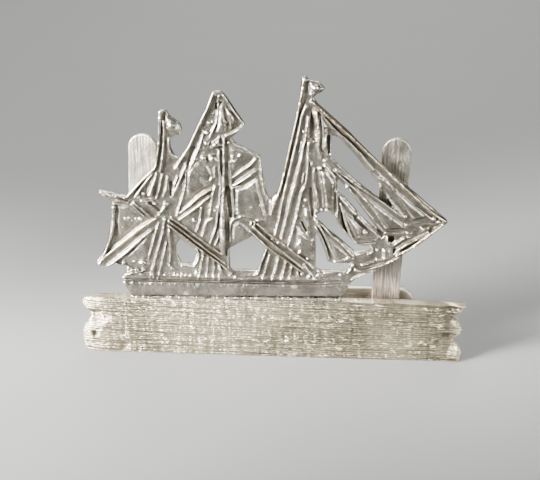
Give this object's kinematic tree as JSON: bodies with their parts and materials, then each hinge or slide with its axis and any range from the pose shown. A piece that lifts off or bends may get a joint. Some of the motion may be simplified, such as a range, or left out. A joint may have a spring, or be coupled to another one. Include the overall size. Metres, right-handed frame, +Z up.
{
  "type": "cap badge",
  "caption": "Pierced relief cap badge of a three-masted sailing ship soldered onto a broken plank, with fold-back flat blades and a cross bar behind.",
  "frame": {"origin": "bottom centre of the badge's box, on the surface that the plank's lower edge stands on", "axes": "+X from the ship's stern to its bow, +Y from the front face to the back, +Z up the masts"},
  "size_m": [0.045, 0.0036, 0.0331],
  "materials": {
    "ship_silver": "polished ridges, dark tarnish in the recesses",
    "plank_silver": "brushed along the grain, small dents",
    "solder": "bright and lumpy",
    "blade_nickel": "brushed along the strip"
  },
  "bodies": {
    "badge": {"ship_casting": "ship_silver", "log_plank": "plank_silver", "keel_solder": "solder", "back_bar": "blade_nickel", "bow_bar_solder": "solder", "left_blade_foot": "blade_nickel", "left_foot_solder": "solder", "left_bar_solder": "solder", "right_blade_foot": "blade_nickel", "right_foot_solder": "solder", "right_bar_solder": "solder"},
    "left_blade": {"left_blade": "blade_nickel"},
    "right_blade": {"right_blade": "blade_nickel"}
  },
  "joints": [
    {"name": "left_blade_bend", "type": "hinge", "parent": "badge", "child": "left_blade", "pos_m": [-0.0151, 0.00093, 0.00815], "axis": [-1, 0, 0], "range_deg": [0, 90]},
    {"name": "right_blade_bend", "type": "hinge", "parent": "badge", "child": "right_blade", "pos_m": [0.01335, 0.00093, 0.00815], "axis": [-1, 0, 0], "range_deg": [0, 90]}
  ]
}
